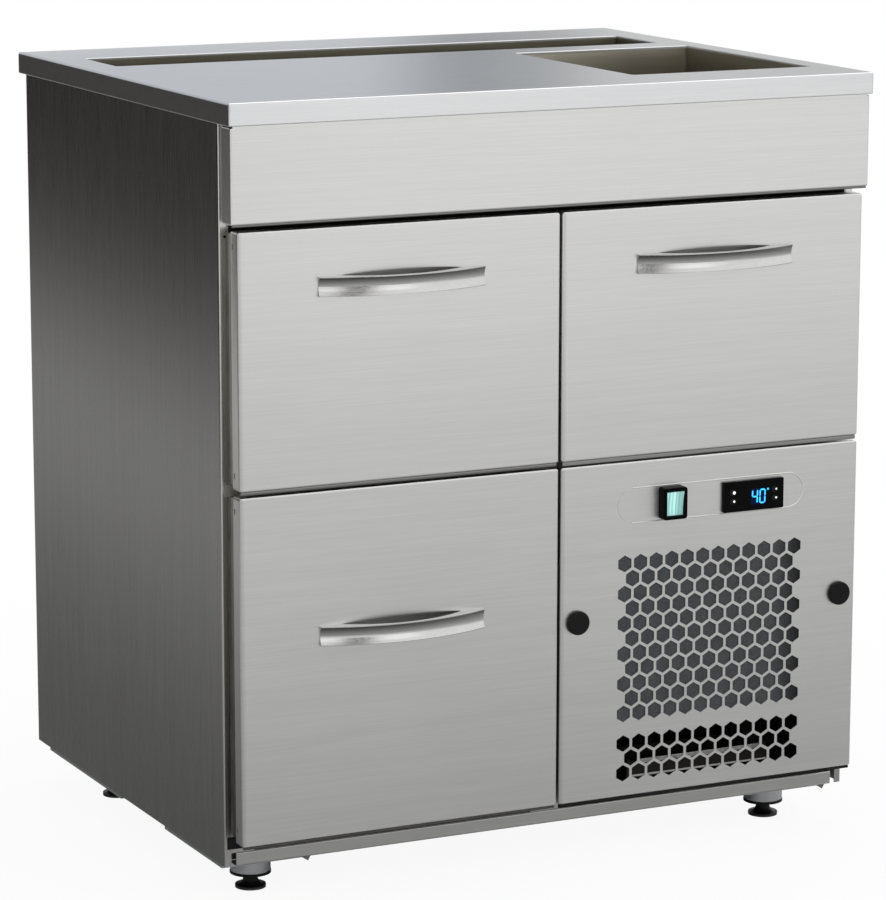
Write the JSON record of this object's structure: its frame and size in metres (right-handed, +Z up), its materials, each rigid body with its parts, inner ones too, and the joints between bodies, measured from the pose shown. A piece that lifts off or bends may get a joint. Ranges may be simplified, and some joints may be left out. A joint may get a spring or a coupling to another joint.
{
  "type": "refrigerated bar counter",
  "caption": "Stainless steel refrigerated bar counter with drawers, a removable machine cover with a hexagon grille, and a worktop with a rear channel and a side well.",
  "frame": {"origin": "on the floor, under the middle of the counter with its handles", "axes": "+X to the right seen from the front, +Y from the drawer fronts to the back, +Z up"},
  "size_m": [0.8, 0.6716, 0.9],
  "materials": {
    "stainless_steel": "fine brushed grain along the length of each panel",
    "foamed_panel": "smooth satin skin over foam",
    "zinc_plated_steel": "dull zinc plating",
    "satin_aluminium": "satin, drawn along its length",
    "seal_rubber": "soft matte extrusion",
    "black_plastic": "fine moulded grain",
    "green_rocker": "clear tinted moulding",
    "soft_key": "smooth soft key",
    "filter_fleece": "coarse open fleece",
    "fin_aluminium": "thin pressed fins",
    "compressor_enamel": "black enamel",
    "copper_tube": "drawn copper"
  },
  "bodies": {
    "cabinet": {"worktop": "stainless_steel", "rear_channel": "stainless_steel", "side_well": "stainless_steel", "front_apron": "stainless_steel", "left_side_panel": "stainless_steel", "right_side_panel": "stainless_steel", "back_panel": "zinc_plated_steel", "base_rail": "stainless_steel", "base_pan": "zinc_plated_steel", "foot_brackets": "zinc_plated_steel", "insulated_left_wall": "foamed_panel", "insulated_right_wall": "foamed_panel", "insulated_back_wall": "foamed_panel", "insulated_ceiling": "foamed_panel", "insulated_floor": "foamed_panel", "centre_partition": "foamed_panel", "machine_bay_roof": "foamed_panel", "left_cross_rail": "foamed_panel", "fixed_runners": "zinc_plated_steel", "screw_brackets": "zinc_plated_steel", "condenser": "fin_aluminium", "fan_shroud": "zinc_plated_steel", "compressor": "compressor_enamel", "condensate_tray": "stainless_steel", "refrigerant_tubes": "copper_tube", "evaporator_coil": "fin_aluminium", "evaporator_cover": "stainless_steel", "mains_gland": "black_plastic"},
    "top_left_drawer": {"top_left_front": "stainless_steel", "top_left_gasket": "seal_rubber", "top_left_handle": "satin_aluminium", "top_left_bin": "stainless_steel"},
    "top_left_middle_runners": {"top_left_middle_runners": "zinc_plated_steel"},
    "top_right_drawer": {"top_right_front": "stainless_steel", "top_right_gasket": "seal_rubber", "top_right_handle": "satin_aluminium", "top_right_bin": "stainless_steel"},
    "top_right_middle_runners": {"top_right_middle_runners": "zinc_plated_steel"},
    "bottom_left_drawer": {"bottom_left_front": "stainless_steel", "bottom_left_gasket": "seal_rubber", "bottom_left_handle": "satin_aluminium", "bottom_left_bin": "stainless_steel"},
    "bottom_left_middle_runners": {"bottom_left_middle_runners": "zinc_plated_steel"},
    "machine_cover": {"machine_panel": "stainless_steel", "filter_mat": "filter_fleece", "thermostat_case": "black_plastic", "switch_frame": "black_plastic"},
    "left_cover_screw": {"left_cover_screw": "black_plastic"},
    "right_cover_screw": {"right_cover_screw": "black_plastic"},
    "switch_rocker": {"switch_rocker": "green_rocker"},
    "upper_left_key": {"upper_left_key": "soft_key"},
    "lower_left_key": {"lower_left_key": "soft_key"},
    "upper_right_key": {"upper_right_key": "soft_key"},
    "lower_right_key": {"lower_right_key": "soft_key"},
    "condenser_fan": {"condenser_fan": "black_plastic"},
    "evaporator_fan": {"evaporator_fan": "black_plastic"},
    "front_left_foot": {"front_left_foot": "black_plastic"},
    "front_right_foot": {"front_right_foot": "black_plastic"},
    "rear_left_foot": {"rear_left_foot": "black_plastic"},
    "rear_right_foot": {"rear_right_foot": "black_plastic"}
  },
  "joints": [
    {"name": "top_left_drawer_slide", "type": "slide", "parent": "cabinet", "child": "top_left_drawer", "axis": [0, -1, 0], "range_m": [0, 0.43]},
    {"name": "top_left_runner_slide", "type": "slide", "parent": "cabinet", "child": "top_left_middle_runners", "axis": [0, -1, 0], "range_m": [0, 0.215]},
    {"name": "top_right_drawer_slide", "type": "slide", "parent": "cabinet", "child": "top_right_drawer", "axis": [0, -1, 0], "range_m": [0, 0.43]},
    {"name": "top_right_runner_slide", "type": "slide", "parent": "cabinet", "child": "top_right_middle_runners", "axis": [0, -1, 0], "range_m": [0, 0.215]},
    {"name": "bottom_left_drawer_slide", "type": "slide", "parent": "cabinet", "child": "bottom_left_drawer", "axis": [0, -1, 0], "range_m": [0, 0.43]},
    {"name": "bottom_left_runner_slide", "type": "slide", "parent": "cabinet", "child": "bottom_left_middle_runners", "axis": [0, -1, 0], "range_m": [0, 0.215]},
    {"name": "machine_cover_pull", "type": "slide", "parent": "cabinet", "child": "machine_cover", "axis": [0, -1, 0], "range_m": [0, 0.12]},
    {"name": "left_cover_screw_turn", "type": "hinge", "parent": "machine_cover", "child": "left_cover_screw", "pos_m": [0.0234, -0.3, 0.292], "axis": [0, 1, 0], "continuous": true},
    {"name": "right_cover_screw_turn", "type": "hinge", "parent": "machine_cover", "child": "right_cover_screw", "pos_m": [0.36795, -0.3, 0.292], "axis": [0, 1, 0], "continuous": true},
    {"name": "switch_rocker_tilt", "type": "hinge", "parent": "machine_cover", "child": "switch_rocker", "pos_m": [0.14208, -0.31915, 0.4212], "axis": [1, 0, 0], "range_deg": [-14, 0]},
    {"name": "upper_left_key_press", "type": "slide", "parent": "machine_cover", "child": "upper_left_key", "axis": [0, 1, 0], "range_m": [0, 0.0008], "stiffness_N_per_m": 300},
    {"name": "lower_left_key_press", "type": "slide", "parent": "machine_cover", "child": "lower_left_key", "axis": [0, 1, 0], "range_m": [0, 0.0008], "stiffness_N_per_m": 300},
    {"name": "upper_right_key_press", "type": "slide", "parent": "machine_cover", "child": "upper_right_key", "axis": [0, 1, 0], "range_m": [0, 0.0008], "stiffness_N_per_m": 300},
    {"name": "lower_right_key_press", "type": "slide", "parent": "machine_cover", "child": "lower_right_key", "axis": [0, 1, 0], "range_m": [0, 0.0008], "stiffness_N_per_m": 300},
    {"name": "condenser_fan_spin", "type": "hinge", "parent": "cabinet", "child": "condenser_fan", "pos_m": [0.19175, -0.12525, 0.24], "axis": [0, 1, 0], "continuous": true},
    {"name": "evaporator_fan_spin", "type": "hinge", "parent": "cabinet", "child": "evaporator_fan", "pos_m": [0.18, 0.19825, 0.6259], "axis": [0, 1, 0], "continuous": true},
    {"name": "front_left_foot_turn", "type": "hinge", "parent": "cabinet", "child": "front_left_foot", "pos_m": [-0.335, -0.20325, 0.03], "axis": [0, 0, 1], "continuous": true},
    {"name": "front_right_foot_turn", "type": "hinge", "parent": "cabinet", "child": "front_right_foot", "pos_m": [0.335, -0.20325, 0.03], "axis": [0, 0, 1], "continuous": true},
    {"name": "rear_left_foot_turn", "type": "hinge", "parent": "cabinet", "child": "rear_left_foot", "pos_m": [-0.335, 0.21075, 0.03], "axis": [0, 0, 1], "continuous": true},
    {"name": "rear_right_foot_turn", "type": "hinge", "parent": "cabinet", "child": "rear_right_foot", "pos_m": [0.335, 0.21075, 0.03], "axis": [0, 0, 1], "continuous": true}
  ],
  "couplings": [
    {"joint": "top_left_runner_slide", "follows": "top_left_drawer_slide", "ratio": 0.5},
    {"joint": "top_right_runner_slide", "follows": "top_right_drawer_slide", "ratio": 0.5},
    {"joint": "bottom_left_runner_slide", "follows": "bottom_left_drawer_slide", "ratio": 0.5}
  ]
}
